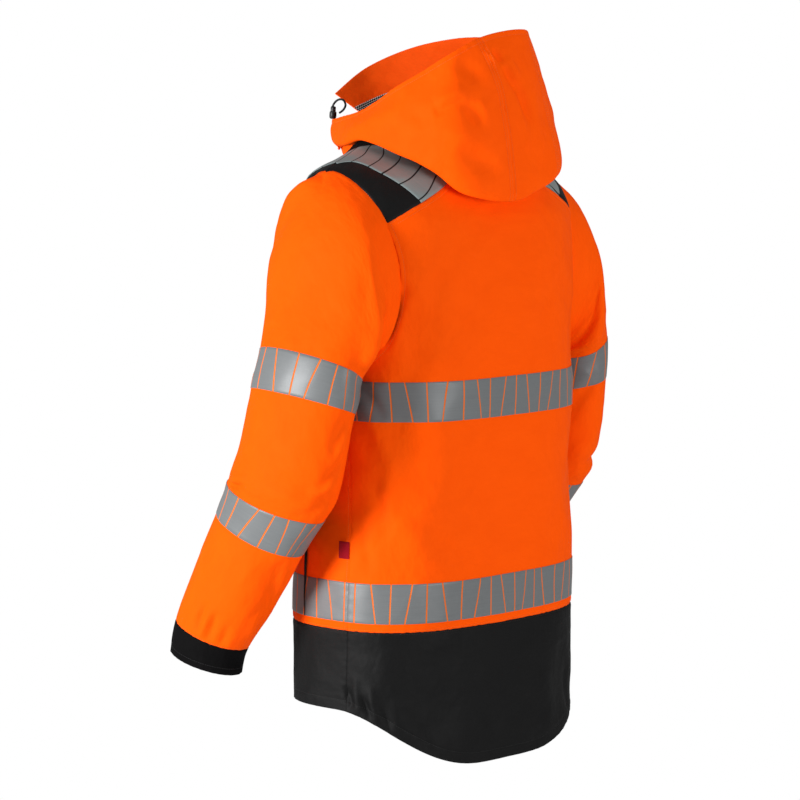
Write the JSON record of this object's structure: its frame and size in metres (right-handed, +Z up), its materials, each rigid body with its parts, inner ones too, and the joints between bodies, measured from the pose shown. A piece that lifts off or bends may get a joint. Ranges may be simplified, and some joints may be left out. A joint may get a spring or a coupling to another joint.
{
  "type": "hooded hi-vis work jacket",
  "caption": "Long hooded high-visibility work jacket in the hollow shape of a worn one, with reflective tape bands, dark hem, cuffs and shoulders, a drop tail and the hood lying down behind.",
  "frame": {"origin": "base of the neck inside the jacket, where it hangs from the wearer's shoulders", "axes": "+Z up along the jacket, the wearer faces -Y, the wearer's left is +X"},
  "size_m": [0.608, 0.3784, 0.9285],
  "materials": {
    "orange_shell": "matt coated woven shell cloth, fluorescent orange",
    "black_shell": "matt coated woven shell cloth, black",
    "reflective_tape": "satin segmented reflective film",
    "mesh_lining": "open mesh",
    "zip_tape": "woven zip tape with moulded teeth",
    "red_label": "satin woven",
    "black_plastic": "matt moulded",
    "elastic_cord": "braided elastic cord"
  },
  "bodies": {
    "jacket": {"back_panel": "orange_shell", "front_panel_left": "orange_shell", "front_panel_right": "orange_shell", "sleeve_left": "orange_shell", "sleeve_right": "orange_shell", "collar": "orange_shell", "hood_panel_left": "orange_shell", "hood_panel_centre": "orange_shell", "hood_panel_right": "orange_shell", "hood_facing": "orange_shell", "hem_panel_back": "black_shell", "hem_panel_front_left": "black_shell", "hem_panel_front_right": "black_shell", "shoulder_yoke_left": "black_shell", "shoulder_yoke_right": "black_shell", "cuff_left": "black_shell", "cuff_right": "black_shell", "shoulder_tape_left": "reflective_tape", "shoulder_tape_right": "reflective_tape", "chest_tape_back": "reflective_tape", "chest_tape_front_left": "reflective_tape", "chest_tape_front_right": "reflective_tape", "lower_tape_back": "reflective_tape", "lower_tape_front_left": "reflective_tape", "lower_tape_front_right": "reflective_tape", "sleeve_tape_upper_left": "reflective_tape", "sleeve_tape_upper_right": "reflective_tape", "sleeve_tape_lower_left": "reflective_tape", "sleeve_tape_lower_right": "reflective_tape", "hood_mesh_lining": "mesh_lining", "front_zip": "zip_tape", "pocket_zip_left": "zip_tape", "pocket_zip_right": "zip_tape", "side_label": "red_label", "cord_lock_left": "black_plastic", "cord_lock_right": "black_plastic", "front_zip_slider": "black_plastic", "hood_cord_left": "elastic_cord", "hood_cord_right": "elastic_cord"},
    "zip_pull": {"front_zip_pull": "black_plastic"}
  },
  "joints": [
    {"name": "zip_pull_hinge", "type": "hinge", "parent": "jacket", "child": "zip_pull", "pos_m": [0, -0.15144, -0.00412], "axis": [-1, 0, 0], "range_deg": [-25, 140]}
  ]
}
